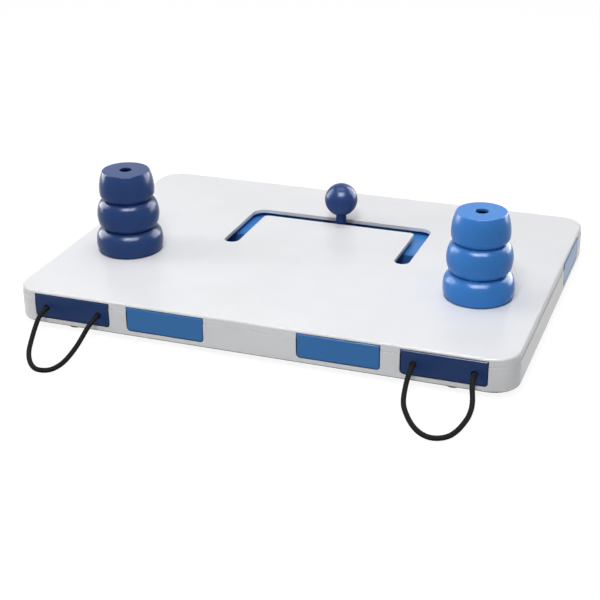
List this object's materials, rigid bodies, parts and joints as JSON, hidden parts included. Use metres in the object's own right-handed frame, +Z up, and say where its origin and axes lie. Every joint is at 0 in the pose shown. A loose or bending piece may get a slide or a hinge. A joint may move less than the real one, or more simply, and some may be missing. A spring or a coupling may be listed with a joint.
{
  "type": "dog puzzle feeder toy",
  "caption": "Flat puzzle board with pull-out treat drawers on cord loops, drawers pushed by a ball knob in a U-shaped slot, and lift-off cones over treat dishes.",
  "frame": {"origin": "centre of the board's footprint, at the level of the surface that the feet stand on", "axes": "+X along the board's long side, to the right seen from the front; -Y is the front with the cord loops; +Z up"},
  "size_m": [0.31, 0.2771, 0.0773],
  "materials": {
    "white_plastic": "satin-gloss moulded plastic",
    "dark_blue_plastic": "satin-gloss moulded plastic",
    "light_blue_plastic": "satin-gloss moulded plastic",
    "black_cord": "braided round cord",
    "foot_rubber": "soft matt rubber",
    "screw_steel": "zinc-plated"
  },
  "bodies": {
    "board": {"top_cover": "white_plastic", "base_tray": "white_plastic", "tray_ribs": "white_plastic", "cover_ribs": "white_plastic", "screw_posts": "white_plastic", "screw_bosses": "white_plastic", "treat_dish_left": "white_plastic", "treat_dish_right": "white_plastic", "cover_screws": "screw_steel", "foot_front_left": "foot_rubber", "foot_front_right": "foot_rubber", "foot_rear_left": "foot_rubber", "foot_rear_right": "foot_rubber"},
    "corner_drawer_left": {"corner_drawer_left": "dark_blue_plastic", "pull_loop_left": "black_cord", "loop_knots_left": "black_cord"},
    "corner_drawer_right": {"corner_drawer_right": "dark_blue_plastic", "pull_loop_right": "black_cord", "loop_knots_right": "black_cord"},
    "front_drawer_left": {"front_drawer_left": "light_blue_plastic"},
    "front_drawer_right": {"front_drawer_right": "light_blue_plastic"},
    "cross_drawer": {"cross_drawer": "light_blue_plastic"},
    "knob": {"ball_knob": "dark_blue_plastic", "knob_slider": "dark_blue_plastic", "knob_screw": "screw_steel"},
    "cone_left": {"cone_left": "dark_blue_plastic"},
    "cone_right": {"cone_right": "light_blue_plastic"}
  },
  "joints": [
    {"name": "corner_drawer_left_slide", "type": "slide", "parent": "board", "child": "corner_drawer_left", "axis": [0, -1, 0], "range_m": [0, 0.05]},
    {"name": "corner_drawer_right_slide", "type": "slide", "parent": "board", "child": "corner_drawer_right", "axis": [0, -1, 0], "range_m": [0, 0.05]},
    {"name": "front_drawer_left_slide", "type": "slide", "parent": "board", "child": "front_drawer_left", "axis": [0, -1, 0], "range_m": [0, 0.029]},
    {"name": "front_drawer_right_slide", "type": "slide", "parent": "board", "child": "front_drawer_right", "axis": [0, -1, 0], "range_m": [0, 0.029]},
    {"name": "cross_drawer_slide", "type": "slide", "parent": "board", "child": "cross_drawer", "axis": [1, 0, 0], "range_m": [-0.058, 0.058]},
    {"name": "knob_slide", "type": "slide", "parent": "board", "child": "knob", "axis": [1, 0, 0], "range_m": [-0.058, 0.058]},
    {"name": "cone_left_lift", "type": "slide", "parent": "board", "child": "cone_left", "axis": [0, 0, 1], "range_m": [0, 0.06]},
    {"name": "cone_right_lift", "type": "slide", "parent": "board", "child": "cone_right", "axis": [0, 0, 1], "range_m": [0, 0.06]}
  ],
  "couplings": [
    {"joint": "knob_slide", "follows": "cross_drawer_slide", "ratio": 1}
  ]
}
